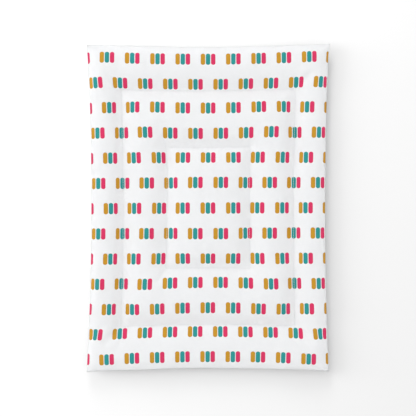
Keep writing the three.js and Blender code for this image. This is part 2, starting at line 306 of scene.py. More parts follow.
    # take out what only the grid can see: ripples a cell or two long
    free = ~(stitch | rim)
    for _ in range(3):
        for axis in (1, 2):
            d2 = np.zeros_like(X)
            c = [s(None)] * 4
            lo, mid, hi = (list(c) for _ in range(3))
            lo[axis], mid[axis], hi[axis] = s(0, -2), s(1, -1), s(2, None)
            d2[tuple(mid)] = X[tuple(lo)] - 2 * X[tuple(mid)] + X[tuple(hi)]
            d4 = np.zeros_like(X)
            d4[tuple(mid)] = d2[tuple(lo)] - 2 * d2[tuple(mid)] + d2[tuple(hi)]
            X[:, free] -= d4[:, free] / 16
    # mitre creases where the cloth turns the corners of the inner rectangle
    for sx, sy, deep, reach in ((1, 1, .0028, .058), (-1, -1, .0025, .055), (-1, 1, .0008, .040), (1, -1, .0007, .040)):
        px, py = X[0, ..., 0] - sx * .0850, X[0, ..., 1] - sy * .1240
        dx, dy = sx * .66, sy * .75
        run, off = px * dx + py * dy, px * dy - py * dx
        off = off + .0035 * np.sin(run / .017) * np.clip(run / .03, 0, 1)
        fade = np.clip(run / .006, 0, 1) * np.clip(1 - run / reach, 0, 1) ** .8
        X[0, ..., 2] -= deep * fade * np.exp(-np.sqrt(off ** 2 + .0012 ** 2) / .0062)
    # the cloth is never quite smooth
    rumple = smooth_noise(rng, ny, nx, .013, h, h) * .00014 + smooth_noise(rng, ny, nx, .030, h, h) * .00022
    X[0, ..., 2] += np.where(free, rumple, 0)
    X[1, ..., 2] = np.maximum(X[1, ..., 2], 0)
    return {"X": X, "xf": xf, "yf": yf, "ix": (ix1, ix2), "iy": (iy1, iy2), "cx": cx, "cy": cy, "stitch": stitch, "rim": rim, "rx": rx, "ry": ry}


# ---------------------------------------------------------------- helpers
def upsample(A, axis):
    """Twice as fine along an axis, by cubic interpolation through the points."""
    A = np.moveaxis(A, axis, 0)
    n = len(A)
    out = np.empty((2 * n - 1,) + A.shape[1:])
    out[::2] = A
    mid = (A[1:] + A[:-1]) / 2
    mid[1:-1] = (9 * (A[1:-2] + A[2:-1]) - A[:-3] - A[3:]) / 16
    out[1::2] = mid
    return np.moveaxis(out, 0, axis)


def fine(A):
    return upsample(upsample(A, 0), 1)


def make_mesh(name, verts, faces, smooth=True):
    me = bpy.data.meshes.new(name)
    me.from_pydata([tuple(v) for v in verts], [], [tuple(f) for f in faces])
    me.update()
    if smooth:
        me.polygons.foreach_set("use_smooth", [True] * len(me.polygons))
    ob = bpy.data.objects.new(name, me)
    bpy.context.collection.objects.link(ob)
    return ob


def grid_mesh(name, verts, faces):
    """The same from arrays, faces all quads."""
    verts, faces = np.asarray(verts, np.float32), np.asarray(faces, np.int32)
    me = bpy.data.meshes.new(name)
    me.vertices.add(len(verts))
    me.vertices.foreach_set("co", verts.ravel())
    me.loops.add(faces.size)
    me.loops.foreach_set("vertex_index", faces.ravel())
    me.polygons.add(len(faces))
    me.polygons.foreach_set("loop_start", np.arange(0, faces.size, faces.shape[1], dtype=np.int32))
    me.polygons.foreach_set("use_smooth", np.ones(len(faces), bool))
    me.update(calc_edges=True)
    me.validate()
    ob = bpy.data.objects.new(name, me)
    bpy.context.collection.objects.link(ob)
    return ob


def put_uv(ob, uv, name="OFBake"):
    """uv per vertex."""
    me = ob.data
    layer = me.uv_layers.new(name=name)
    idx = np.empty(len(me.loops), np.int32)
    me.loops.foreach_get("vertex_index", idx)
    layer.data.foreach_set("uv", np.asarray(uv, np.float32)[idx].ravel())
    me.uv_layers.active = layer


def sample(S, gx, gy, x, y):
    """Bilinear reading of a grid field at flat positions."""
    x, y = np.asarray(x, float), np.asarray(y, float)
    i = np.clip(np.searchsorted(gx, x) - 1, 0, len(gx) - 2)
    j = np.clip(np.searchsorted(gy, y) - 1, 0, len(gy) - 2)
    fx = np.clip((x - gx[i]) / (gx[i + 1] - gx[i]), 0, 1)[..., None]
    fy = np.clip((y - gy[j]) / (gy[j + 1] - gy[j]), 0, 1)[..., None]
    return ((1 - fy) * ((1 - fx) * S[j, i] + fx * S[j, i + 1])
            + fy * ((1 - fx) * S[j + 1, i] + fx * S[j + 1, i + 1]))


# ---------------------------------------------------------------- simulation
t_start = time.time()
sim = simulate(steps=800)
X = sim["X"].astype(float)
xf, yf = sim["xf"], sim["yf"]
print("covers simulated in", round(time.time() - t_start, 1), "s")

FX, FY = upsample(xf, 0), upsample(yf, 0)
TOP, BASE = fine(X[0]), fine(X[1])
STEP = float(np.diff(FX).mean())


def grain(rng, shape, size_y, size_x):
    """Soft noise of unit spread, with its own feature size along each side."""
    ky, kx = np.fft.fftfreq(shape[0], STEP)[:, None], np.fft.rfftfreq(shape[1], STEP)[None, :]
    f = np.exp(-((ky * size_y) ** 2 + (kx * size_x) ** 2) * 2.5)
    n = np.fft.irfft2(np.fft.rfft2(rng.standard_normal(shape)) * f, s=shape)
    return n / n.std()


def puckers(rng, S, deep, rim_deep):
    """Small gathers that run off square to each stitched line and to the edge seam."""
    gx, gy = np.meshgrid(FX, FY)
    ax, ay = np.abs(gx), np.abs(gy)
    lift = np.zeros(gx.shape)
    across_y, across_x = grain(rng, gx.shape, .011, .0034), grain(rng, gx.shape, .0034, .011)
    strong = 1 + .5 * grain(rng, gx.shape, .05, .05)
    for a, b in (FLAT_INNER, FLAT_OUTER):
        to_x = np.hypot(ax - a, np.maximum(ay - b, 0))       # off the sides
        to_y = np.hypot(ay - b, np.maximum(ax - a, 0))       # off the ends
        for d, n in ((to_x, across_x), (to_y, across_y)):
            lift += deep * n * strong * np.exp(-d / .0075) * (1 - np.exp(-(d / .0026) ** 2))
    for d, n in ((FLAT_EDGE[0] - ax, across_x), (FLAT_EDGE[1] - ay, across_y)):
        lift += rim_deep * n * strong * np.exp(-d / .0080) * (1 - np.exp(-(d / .0030) ** 2))
    # faint creases left by folding and handling, in no special direction
    ex, ey = np.gradient(S, axis=1), np.gradient(S, axis=0)
    nrm = np.cross(ex, ey)
    nrm /= np.linalg.norm(nrm, axis=-1, keepdims=True)
    calm = np.clip(np.minimum(FLAT_EDGE[0] - ax, FLAT_EDGE[1] - ay) / .02, 0, 1)
    for a, b in (FLAT_INNER, FLAT_OUTER):
        d = np.abs(np.maximum(ax - a, ay - b))
        calm = calm * np.clip(d / .010, 0, 1)
    crease = -np.abs(grain(rng, gx.shape, .022, .022)) - .6 * np.abs(grain(rng, gx.shape, .013, .013))
    lift += calm * CREASE * (crease - crease.mean())
    return S + nrm * lift[..., None]


TOP = puckers(np.random.default_rng(3), TOP, .00034, .00028)
BASE = puckers(np.random.default_rng(4), BASE, .00030, .00028)
BASE[..., 2] = np.maximum(BASE[..., 2], 0)
NY, NX = TOP.shape[:2]
ALLOWANCE = 0.010
SPAN = (2 * (FLAT_EDGE[0] + ALLOWANCE), 2 * (FLAT_EDGE[1] + ALLOWANCE))


def rim_loop():
    """Index of the rim's grid points in order, counterclockwise from above."""
    a = [(0, i) for i in range(NX)] + [(j, NX - 1) for j in range(1, NY)]
    a += [(NY - 1, i) for i in range(NX - 2, -1, -1)] + [(j, 0) for j in range(NY - 2, 0, -1)]
    return a


RIM = rim_loop()
RJ, RI = np.array(RIM).T
flat_rim = np.stack([FX[RI], FY[RJ]], 1)
# outward direction on the flat cut: square to each side, diagonal at the corners
out_dir = np.stack([np.where(RI == 0, -1., np.where(RI == NX - 1, 1., 0.)),
                    np.where(RJ == 0, -1., np.where(RJ == NY - 1, 1., 0.))], 1)
# near a corner the allowance is mitred, so it narrows towards the tip
near = np.minimum(FLAT_EDGE[0] - np.abs(flat_rim[:, 0]) + (np.abs(out_dir[:, 0]) > 0) * 9,
                  FLAT_EDGE[1] - np.abs(flat_rim[:, 1]) + (np.abs(out_dir[:, 1]) > 0) * 9)


def cover(name, S, up):
    """One cover: the simulated panel, with its seam allowance folded in behind the rim."""
    n = NX * NY
    ids = np.arange(n).reshape(NY, NX)
    q = np.stack([ids[:-1, :-1], ids[:-1, 1:], ids[1:, 1:], ids[1:, :-1]], -1).reshape(-1, 4)
    verts = [S.reshape(-1, 3)]
    uvw, uvh = np.meshgrid(FX, FY)
    flat = [np.stack([uvw.ravel(), uvh.ravel()], 1)]
    rim = S[RJ, RI]
    prev = ids[RJ, RI]
    faces = [q]
    count, m = n, len(RIM)
    for d, lift in ((.0006, -.00010), (.0030, .00008), (.0065, .00020), (ALLOWANCE, .00035)):
        w = np.minimum(d, np.maximum(near, d * .2))
        inward = -out_dir * d
        # the mitre: points near a tip are drawn along the side, so the turned corner lies flat
        t = np.clip((d - near) / max(d, 1e-9), 0, 1)
        along = np.zeros_like(out_dir)
        sx, sy = -np.sign(flat_rim[:, 0]), -np.sign(flat_rim[:, 1])
        straight_x = (out_dir[:, 1] != 0) & (out_dir[:, 0] == 0)
        straight_y = (out_dir[:, 0] != 0) & (out_dir[:, 1] == 0)
        along[straight_x, 0] = (sx * t * d)[straight_x]
        along[straight_y, 1] = (sy * t * d)[straight_y]
        loop = rim.copy()
        loop[:, :2] += inward + along
        loop[:, 2] = rim[:, 2] + (lift if up else -lift)
        verts.append(loop)
        flat.append(flat_rim + out_dir * d)
        cur = np.arange(count, count + m)
        a, b = prev, np.roll(prev, -1)
        c, e = np.roll(cur, -1), cur
        faces.append(np.stack([e, c, b, a], 1))
        prev = cur
        count += m
    verts, flat, faces = np.concatenate(verts), np.concatenate(flat), np.concatenate(faces)
    if not up:
        faces = faces[:, ::-1]
    ob = grid_mesh(name, verts, faces)
    uv = (flat + np.array(SPAN) / 2) / np.array(SPAN)
    if not up:
        uv[:, 0] = 1 - uv[:, 0]
    put_uv(ob, uv)
    return ob


top_cover = cover("printed_top_cover", TOP, True)
base_cover = cover("plain_base_cover", BASE, False)


# ---------------------------------------------------------------- stitches
def line_path(S, kx, ky):
    """The points of a stitched rectangle on a fine cover, closed, counterclockwise."""
    cx, cy = NX // 2, NY // 2
    a, b = 2 * kx, 2 * ky
    pts = [S[cy - b, i] for i in range(cx - a, cx + a + 1)]
    pts += [S[j, cx + a] for j in range(cy - b + 1, cy + b + 1)]
    pts += [S[cy + b, i] for i in range(cx + a - 1, cx - a - 1, -1)]
    pts += [S[j, cx - a] for j in range(cy + b - 1, cy - b, -1)]
    return np.array(pts + [pts[0]])


def along(path, step):
    """Evenly spaced points on a path and their directions."""
    seg = np.linalg.norm(np.diff(path, axis=0), axis=1)
    s = np.concatenate([[0], np.cumsum(seg)])
    n = max(2, int(round(s[-1] / step)))
    at = (np.arange(n) + .5) * s[-1] / n
    pos = np.stack([np.interp(at, s, path[:, k]) for k in range(3)], 1)
    ahead = np.stack([np.interp(np.minimum(at + 1e-3, s[-1]), s, path[:, k]) for k in range(3)], 1)
    back = np.stack([np.interp(np.maximum(at - 1e-3, 0), s, path[:, k]) for k in range(3)], 1)
    d = ahead - back
    return pos, d / np.linalg.norm(d, axis=1, keepdims=True), s[-1] / n


def stitches(name, pos, direction, up, length, radius, arch=.0003, sides=7, rings=7, rng=None):
    """A row of separate stitches: each a plump thread that dives into the cloth at both ends."""
    n = len(pos)
    side = np.cross(up, direction)
    side /= np.linalg.norm(side, axis=1, keepdims=True)
    u2 = np.cross(direction, side)
    jit = rng.normal(0, 1, (n, 4))
    L = length * (1 + .05 * jit[:, 0])
    yaw = .03 * jit[:, 1]
    d = direction * np.cos(yaw)[:, None] + side * np.sin(yaw)[:, None]
    s2 = np.cross(u2, d)
    r = radius * (1 + .05 * jit[:, 2])
    t = np.linspace(-1, 1, rings)
    prof = np.maximum(1 - np.abs(t) ** 2.6, .06) ** .5
    prof[0] = prof[-1] = .22
    ang = np.arange(sides) * 2 * np.pi / sides
    V = (pos[:, None, None, :]
         + d[:, None, None, :] * (L[:, None] / 2 * t[None])[..., None, None]
         + u2[:, None, None, :] * (arch * (1 - t[None] ** 2) - .00016 * t[None] ** 4)[..., None, None] * np.ones((n, 1, 1, 1))
         + (s2[:, None, None, :] * np.cos(ang)[None, None, :, None] + u2[:, None, None, :] * np.sin(ang)[None, None, :, None])
         * (r[:, None] * prof[None])[..., None, None])
    base = (np.arange(n) * rings * sides)[:, None, None]
    i, k = np.meshgrid(np.arange(rings - 1), np.arange(sides), indexing="ij")
    k2 = (k + 1) % sides
    q = np.stack([i * sides + k, i * sides + k2, (i + 1) * sides + k2, (i + 1) * sides + k], -1)
    Q = (base[..., None] + q[None]).reshape(-1, 4)
    verts = V.reshape(-1, 3)
    faces = Q.tolist()
    for m in range(n):
        o = m * rings * sides
        faces.append([o + j for j in range(sides)][::-1])
        faces.append([o + (rings - 1) * sides + j for j in range(sides)])
    ob = make_mesh(name, verts.tolist(), faces)
    return ob


rng = np.random.default_rng(11)
UP = np.array([0., 0., 1.])
thread_objects = []
for tag, kx, ky in (("inner", sim["ix"][0], sim["iy"][0]), ("outer", sim["ix"][1], sim["iy"][1])):
    for side, S, up, node in (("top", TOP, UP, "needle"), ("underside", BASE, -UP, "bobbin")):
        pos, direc, pitch = along(line_path(S, kx, ky), .0036)
        upv = np.repeat(up[None], len(pos), 0)
        ob = stitches(f"{tag}_quilt_stitches_{side}", pos + upv * .00012, direc, upv, pitch * .86, .00036, rng=rng)
        thread_objects.append((ob, f"{tag}_quilt_{node}_thread", "quilt_thread"))

# the seam's own stitches, between the two turned-in allowances
rimpath = np.concatenate([(TOP[RJ, RI] + BASE[RJ, RI]) / 2, ((TOP[RJ[:1], RI[:1]] + BASE[RJ[:1], RI[:1]]) / 2)])
pos, direc, pitch = along(rimpath, .0034)
inward = np.cross(np.repeat(UP[None], len(pos), 0), direc)
inward /= np.linalg.norm(inward, axis=1, keepdims=True)
seam = stitches("edge_seam_stitches", pos + inward * .0014, direc, np.repeat(UP[None], len(pos), 0), pitch * .9,
                .00022, arch=0, sides=6, rings=5, rng=rng)
thread_objects.append((seam, "edge_seam_thread", "seam_thread"))

# slip stitches over the fold, closing the turning gap in the middle of the foot end
foot = np.array([(TOP[0, i] + BASE[0, i]) / 2 for i in range(NX)])
pos, direc, pitch = along(foot, .0052)
keep = np.abs(pos[:, 0]) < .076
pos, direc = pos[keep], direc[keep]
slant = np.repeat(np.array([[.45, -.12, .9]]), len(pos), 0)
slant[::1] /= np.linalg.norm(slant[0])
slip = stitches("closing_slip_stitches", pos + np.array([0, -.00005, 0]), slant,
                np.repeat(np.array([[0., -1., 0.]]), len(pos), 0), .0030, .00026, arch=.0004, sides=6, rings=7, rng=rng)
thread_objects.append((slip, "closing_seam_thread", "seam_thread"))


# ---------------------------------------------------------------- fillings
def wadding(name, us, vs, inset=.0011, least=.0012):
    """A closed body of wadding between the covers over flat positions us, vs (grids)."""
    T = sample(X[0], xf, yf, us, vs)
    B = sample(X[1], xf, yf, us, vs)
    n1 = smooth_noise(rng, *us.shape, .010, .004, .004) * .00022
    n2 = smooth_noise(rng, *us.shape, .010, .004, .004) * .00022
    zt = T[..., 2] - inset - np.abs(n1)
    zb = B[..., 2] + inset + np.abs(n2)
    mid = (zt + zb) / 2
    zt, zb = np.maximum(zt, mid + least / 2), np.minimum(zb, mid - least / 2)
    U = np.concatenate([((T + B) / 2)[..., :2], zt[..., None]], -1)
    D = np.concatenate([((T + B) / 2)[..., :2], zb[..., None]], -1)
    r, c = us.shape
    idx = np.arange(r * c).reshape(r, c)
    low = idx + r * c
    q = lambda a, b, c_, d_: np.stack([a, b, c_, d_], -1).reshape(-1, 4)
    faces = [q(idx[:-1, :-1], idx[:-1, 1:], idx[1:, 1:], idx[1:, :-1]),
             q(low[:-1, :-1], low[1:, :-1], low[1:, 1:], low[:-1, 1:])]
    # a rounded wall between them
    ring = np.concatenate([idx[0, :-1], idx[:-1, -1], idx[-1, :0:-1], idx[:0:-1, 0]])
    ring_low = ring + r * c
    V = np.concatenate([U.reshape(-1, 3), D.reshape(-1, 3)])
    mids = (V[ring] + V[ring_low]) / 2
    centre = np.array([mids[:, 0].mean(), mids[:, 1].mean(), 0])
    tang = np.roll(mids, -1, 0) - np.roll(mids, 1, 0)
    nrm = np.stack([tang[:, 1], -tang[:, 0], 0 * tang[:, 0]], 1)
    nrm /= np.linalg.norm(nrm, axis=1, keepdims=True) + 1e-12
    mids = mids + nrm * .0008
    V = np.concatenate([V, mids])
    m = np.arange(len(ring)) + 2 * r * c
    nx_ = lambda a: np.roll(a, -1)
    faces.append(q(ring, ring_low * 0 + m, nx_(m), nx_(ring)))
    faces.append(q(m, ring_low, nx_(ring_low), nx_(m)))
    ob = grid_mesh(name, V, np.concatenate(faces))
    # both faces laid out side by side, with a strip for the wall; this layout is worked out but not put on the mesh
    u = (us - us.min()) / np.ptp(us)
    v = (vs - vs.min()) / np.ptp(vs)
    uv = np.concatenate([np.stack([u.ravel() * .47 + .01, v.ravel() * .98 + .01], 1),
                         np.stack([u.ravel() * .47 + .52, v.ravel() * .98 + .01], 1),
                         np.zeros((len(ring), 2)) + .5])
    me = ob.data
    bm_fix(me)
    return ob


def bm_fix(me):
    """Faces of a closed body turned outwards."""
    import bmesh
    bm = bmesh.new()
    bm.from_mesh(me)
    bmesh.ops.recalc_face_normals(bm, faces=bm.faces)
    bm.to_mesh(me)
    bm.free()


fillings = []
a1, b1 = FLAT_INNER
a2, b2 = FLAT_OUTER
a3, b3 = FLAT_EDGE
EDGE_IN, LINE_IN, MITRE = .013, .0050, .0006
u, v = np.meshgrid(np.linspace(-a1 + LINE_IN, a1 - LINE_IN, 41), np.linspace(-b1 + LINE_IN, b1 - LINE_IN, 59))
fillings.append((wadding("centre_wadding", u, v), "centre_filling"))
for zone, (ai, bi), (ao, bo), gin, gout, n_across in (
        ("middle", (a1, b1), (a2, b2), LINE_IN, LINE_IN, 23), ("border", (a2, b2), (a3, b3), LINE_IN, EDGE_IN, 15)):
    for side, (sx, sy) in (("right", (1, 0)), ("back", (0, 1)), ("left", (-1, 0)), ("front", (0, -1))):
        t = np.linspace(0, 1, n_across)
        ai_, bi_, ao_, bo_ = ai + gin, bi + gin, ao - gout, bo - gout
        A, Bv = ai_ + (ao_ - ai_) * t, bi_ + (bo_ - bi_) * t       # half sizes at each step across
        s = np.linspace(-1, 1, 71 if sx else 53)
        if sx:
            fx = sx * np.repeat(A[:, None], len(s), 1)
            fy = (Bv[:, None] - MITRE) * s[None]
        else:
            fy = sy * np.repeat(Bv[:, None], len(s), 1)
            fx = (A[:, None] - MITRE) * s[None]
        fillings.append((wadding(f"{zone}_wadding_{side}", fx, fy), f"{zone}_filling_{side}"))


# ---------------------------------------------------------------- care label
LABEL = (.036, .017)
lo, hi = (Vector(c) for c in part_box("care_label"))
label_x, label_y0, label_y1 = (lo.x + hi.x) / 2, lo.y, hi.y


def flat_of(x, y):
    """Flat position whose base cover point lies at x, y."""
    fx, fy = x, y
    for _ in range(25):
        p = sample(X[1], xf, yf, np.array(fx), np.array(fy))
        fx, fy = fx + (x - p[0]), fy + (y - p[1])
    return fx, fy


def care_label():
    nu, nv = 37, 19
    us, vs = np.linspace(-.5, .5, nu), np.linspace(0, 1, nv)
    top, bot = [], []
    for b in vs:
        for a in us:
            x, y = label_x + a * LABEL[0], label_y1 - b * LABEL[1]
            fx, fy = flat_of(x, y)
            p = sample(X[1], xf, yf, np.array(fx), np.array(fy))
            # sewn down along the inner long edge, a little loose and curled elsewhere
            off = .00030 + .0010 * max(0, b - .15) ** 1.5 + .00025 * math.sin(a * 9 + b * 3) * b
            edge = min(.5 - abs(a), b, 1 - b)
            thick = .00022 + (.00016 if edge < .035 else 0)
            top.append((p[0], p[1], p[2] - off))
            bot.append((p[0], p[1], p[2] - off - thick))
    V = np.array(top + bot)
    n = nu * nv
    idx = np.arange(n).reshape(nv, nu)
    low = idx + n
    q = lambda a, b, c, d: np.stack([a, b, c, d], -1).reshape(-1, 4)
    faces = [q(idx[:-1, :-1], idx[1:, :-1], idx[1:, 1:], idx[:-1, 1:]),
             q(low[:-1, :-1], low[:-1, 1:], low[1:, 1:], low[1:, :-1])]
    for line in ((idx[0], low[0]), (idx[-1], low[-1]), (idx[:, 0], low[:, 0]), (idx[:, -1], low[:, -1])):
        a, b = line
        faces.append(q(a[:-1], a[1:], b[1:], b[:-1]))
    ob = grid_mesh("blank_care_label", V, np.concatenate(faces))
    bm_fix(ob.data)
    p0 = V[n:][idx[1]]
    return ob, p0


label, label_line = care_label()
pos, direc, pitch = along(label_line[2:-2], .0028)
pos[:, 1] -= .0012
label_sewing = stitches("care_label_stitches", pos + np.array([0, 0, -.00002]), direc, np.repeat(-UP[None], len(pos), 0),
                        pitch * .85, .00020, arch=.0002, sides=6, rings=5, rng=rng)


# ---------------------------------------------------------------- materials
class Nodes:
    """Short hand for building a procedural material."""

    def __init__(self, name):
        self.mat = bpy.data.materials.new(name)
        self.mat.use_nodes = True
        self.t = self.mat.node_tree
        self.t.nodes.clear()
        self.out = self.t.nodes.new("ShaderNodeOutputMaterial")
        self.bsdf = self.t.nodes.new("ShaderNodeBsdfPrincipled")
        self.t.links.new(self.bsdf.outputs[0], self.out.inputs[0])

    def put(self, socket, value):
        if isinstance(value, bpy.types.NodeSocket):
            self.t.links.new(value, socket)
        else:
            socket.default_value = value

    def math(self, op, a, b=0., c=0., clamp=False):
        n = self.t.nodes.new("ShaderNodeMath")
        n.operation = op
        n.use_clamp = clamp
        for i, v in enumerate((a, b, c)):
            self.put(n.inputs[i], v)
        return n.outputs[0]

    def node(self, kind, out=0, **inputs):
        n = self.t.nodes.new(kind)
        for k, v in inputs.items():
            key = k.replace("_", " ")
            if hasattr(n, k) and k not in ("color",):
                setattr(n, k, v)
            else:
                self.put(n.inputs[key], v)
        return n.outputs[out]

    def noise(self, vec, scale, detail=2., rough=.5, dims="3D"):
        n = self.t.nodes.new("ShaderNodeTexNoise")
        n.noise_dimensions = dims
        self.put(n.inputs["Vector"], vec)
        self.put(n.inputs["Scale"], scale)
        self.put(n.inputs["Detail"], detail)
        self.put(n.inputs["Roughness"], rough)
        return n.outputs[0]

    def mix(self, fac, a, b):
        n = self.t.nodes.new("ShaderNodeMix")
        n.data_type = "RGBA"
        self.put(n.inputs[0], fac)
        self.put(n.inputs[6], a)
        self.put(n.inputs[7], b)
        return n.outputs[2]

    def step(self, v, lo, hi):
        n = self.t.nodes.new("ShaderNodeMapRange")
        n.interpolation_type = "SMOOTHSTEP"
        self.put(n.inputs["Value"], v)
        self.put(n.inputs["From Min"], lo)
        self.put(n.inputs["From Max"], hi)
        return n.outputs[0]

    def xyz(self, vec):
        n = self.t.nodes.new("ShaderNodeSeparateXYZ")
        self.put(n.inputs[0], vec)
        return n.outputs

    def vec(self, x, y, z=0.):
        n = self.t.nodes.new("ShaderNodeCombineXYZ")
        for i, v in enumerate((x, y, z)):
            self.put(n.inputs[i], v)
        return n.outputs[0]

    def bump(self, height, strength, distance, normal=None):
        n = self.t.nodes.new("ShaderNodeBump")
        self.put(n.inputs["Height"], height)
        self.put(n.inputs["Strength"], strength)
        self.put(n.inputs["Distance"], distance)
        if normal is not None:
            self.put(n.inputs["Normal"], normal)
        return n.outputs[0]


def rgb(r, g, b):
    return (r, g, b, 1.)


WHITE = (.862, .869, .880)
PITCH = .05194                     # repeat of the print on the flat cloth
PRINT = ((rgb(.575, .290, .022), -.01055), (rgb(.026, .300, .290), 0.), (rgb(.700, .036, .125), .01055))
PILL = (.00455, .01165, .0040)     # half width, half height, corner radius


def cloth(name, span, printed, mirror=False):
    """Fine plain-woven cotton. X and Y are millimetres on the flat cloth."""
    m = Nodes(name)
    uvn = m.t.nodes.new("ShaderNodeUVMap")
    uvn.uv_map = "OFBake"
    u, v, _ = m.xyz(uvn.outputs[0])
    x = m.math("MULTIPLY_ADD", u, span[0], -span[0] / 2)
    y = m.math("MULTIPLY_ADD", v, span[1], -span[1] / 2)
    p = m.vec(x, y)
    # yarns: two crossing sets of long soft streaks, and the over-and-under of the weave
    warp = m.noise(m.vec(m.math("MULTIPLY", x, 1 / .0009), m.math("MULTIPLY", y, 1 / .012)), 1., 2.)
    weft = m.noise(m.vec(m.math("MULTIPLY", x, 1 / .012), m.math("MULTIPLY", y, 1 / .0009)), 1., 2.)
    wave = m.math("MULTIPLY", m.math("SINE", m.math("MULTIPLY", x, math.pi / .00075)),
                  m.math("SINE", m.math("MULTIPLY", y, math.pi / .00075)))
    yarn = m.math("ADD", warp, weft)
    soft = m.noise(p, 28., 3., .55)
    slub = m.noise(m.vec(m.math("MULTIPLY", x, 70.), m.math("MULTIPLY", y, 900.)), 1., 1.)
    # colour: a slight cool white, barely uneven between yarns and over the cloth
    tone = m.math("ADD", m.math("MULTIPLY_ADD", yarn, .030, -.030), m.math("MULTIPLY_ADD", soft, .030, -.015))
    tone = m.math("ADD", tone, m.math("MULTIPLY_ADD", slub, .012, -.006))
    light = m.math("ADD", tone, 1.)
    white = m.node("ShaderNodeVectorMath", operation="SCALE", Vector=WHITE if printed else (.795, .797, .800), Scale=light)
    colour = white
    if printed:
        row = m.math("FLOOR", m.math("ADD", m.math("DIVIDE", m.math("ADD", y, .0006), PITCH), .5))
        ly = m.math("SUBTRACT", m.math("ADD", y, .0006), m.math("MULTIPLY", row, PITCH))
        odd = m.math("MODULO", m.math("ABSOLUTE", row), 2.)
        shift = m.math("MULTIPLY", odd, PITCH / 2)
        xs = m.math("ADD", m.math("ADD", x, .0002), shift)
        col = m.math("FLOOR", m.math("ADD", m.math("DIVIDE", xs, PITCH), .5))
        lx = m.math("SUBTRACT", xs, m.math("MULTIPLY", col, PITCH))
        # ink sits slightly unevenly on the yarns, so its edge is not knife-sharp
        fray = m.math("MULTIPLY_ADD", yarn, .00030, -.00030)
        ink_tone = m.math("ADD", m.math("MULTIPLY_ADD", yarn, .10, -.10), m.math("ADD", m.math("MULTIPLY_ADD", soft, .10, -.05), 1.))
        hw, hh, rad = PILL
        for (ink, cx) in PRINT:
            dx = m.math("MAXIMUM", m.math("SUBTRACT", m.math("ABSOLUTE", m.math("SUBTRACT", lx, cx)), hw - rad), 0.)
            dy = m.math("MAXIMUM", m.math("SUBTRACT", m.math("ABSOLUTE", ly), hh - rad), 0.)
            d = m.math("SUBTRACT", m.math("SQRT", m.math("ADD", m.math("MULTIPLY", dx, dx), m.math("MULTIPLY", dy, dy))), rad)
            mask = m.step(m.math("ADD", d, fray), .00022, -.00022)
            inked = m.node("ShaderNodeVectorMath", operation="SCALE", Vector=ink[:3], Scale=ink_tone)
            colour = m.mix(mask, colour, inked)
    m.put(m.bsdf.inputs["Base Color"], colour)
    rough = m.math("MULTIPLY_ADD", yarn, .06, .82)
    m.put(m.bsdf.inputs["Roughness"], rough)
    m.bsdf.inputs["Specular IOR Level"].default_value = .25
    m.bsdf.inputs["Sheen Weight"].default_value = .12
    m.bsdf.inputs["Sheen Roughness"].default_value = .5
    m.bsdf.inputs["Sheen Tint"].default_value = (1, 1, 1, 1)
    # light spreads through the cotton and the wadding behind it
    m.bsdf.subsurface_method = "BURLEY"
    m.bsdf.inputs["Subsurface Weight"].default_value = SPREAD[0]
    m.bsdf.inputs["Subsurface Radius"].default_value = (1, 1, 1)
    m.bsdf.inputs["Subsurface Scale"].default_value = SPREAD[1]
    # relief: weave, yarn streaks, and small puckers where the quilting draws the cloth up
    height = m.math("ADD", m.math("MULTIPLY", wave, .25), m.math("MULTIPLY", yarn, .9))
    n1 = m.bump(height, .22, .00012)
    crumple = m.math("ADD", m.noise(p, 95., 3., .5), m.math("MULTIPLY", m.noise(p, 34., 2., .5), 1.2))
    n2 = m.bump(crumple, .20, .0009, n1)
    # distance from each stitched rectangle
    ax, ay = m.math("ABSOLUTE", x), m.math("ABSOLUTE", y)
    normal = n2
    for a, b in (FLAT_INNER, FLAT_OUTER):
        qx, qy = m.math("SUBTRACT", ax, a), m.math("SUBTRACT", ay, b)
        inside = m.math("MAXIMUM", qx, qy)
        ox, oy = m.math("MAXIMUM", qx, 0.), m.math("MAXIMUM", qy, 0.)
        outside = m.math("SQRT", m.math("ADD", m.math("MULTIPLY", ox, ox), m.math("MULTIPLY", oy, oy)))
        dist = m.math("ABSOLUTE", m.math("ADD", m.math("MINIMUM", inside, 0.), outside))
        run = m.math("ADD", x, y)
        ripple = m.math("SINE", m.math("ADD", m.math("MULTIPLY", run, 2 * math.pi / .0072),
                                       m.math("MULTIPLY", m.noise(p, 60., 1.), 9.)))
        fade = m.math("POWER", m.step(dist, .013, .0008), 1.6)
        hole = m.math("MULTIPLY", m.step(dist, .0016, 0.), -1.4)
        pucker = m.math("ADD", m.math("MULTIPLY", ripple, m.math("MULTIPLY", fade, .8)), hole)
        normal = m.bump(pucker, .32, .0006, normal)
    m.put(m.bsdf.inputs["Normal"], normal)
    return m.mat


def thread_material(name, colour, rough=.55):
    """Spun thread: fine plies wound along each stitch."""
    m = Nodes(name)
    tc = m.t.nodes.new("ShaderNodeTexCoord")
    o = tc.outputs["Object"]
    x, y, z = m.xyz(o)
    ply = m.math("SINE", m.math("MULTIPLY", m.math("ADD", m.math("ADD", x, y), m.math("MULTIPLY", z, 1.6)), 2 * math.pi / .0005))
    fuzz = m.noise(o, 900., 3., .6)
    patch = m.noise(o, 35., 2.)
    tone = m.math("ADD", m.math("MULTIPLY_ADD", ply, .035, 1.), m.math("MULTIPLY_ADD", fuzz, .10, -.05))
    tone = m.math("ADD", tone, m.math("MULTIPLY_ADD", patch, .05, -.025))
    m.put(m.bsdf.inputs["Base Color"], m.node("ShaderNodeVectorMath", operation="SCALE", Vector=colour, Scale=tone))
    m.put(m.bsdf.inputs["Roughness"], m.math("MULTIPLY_ADD", fuzz, .15, rough - .07))
    m.bsdf.inputs["Sheen Weight"].default_value = .15
    m.put(m.bsdf.inputs["Normal"], m.bump(m.math("ADD", ply, m.math("MULTIPLY", fuzz, .8)), .5, .0001))
    return m.mat


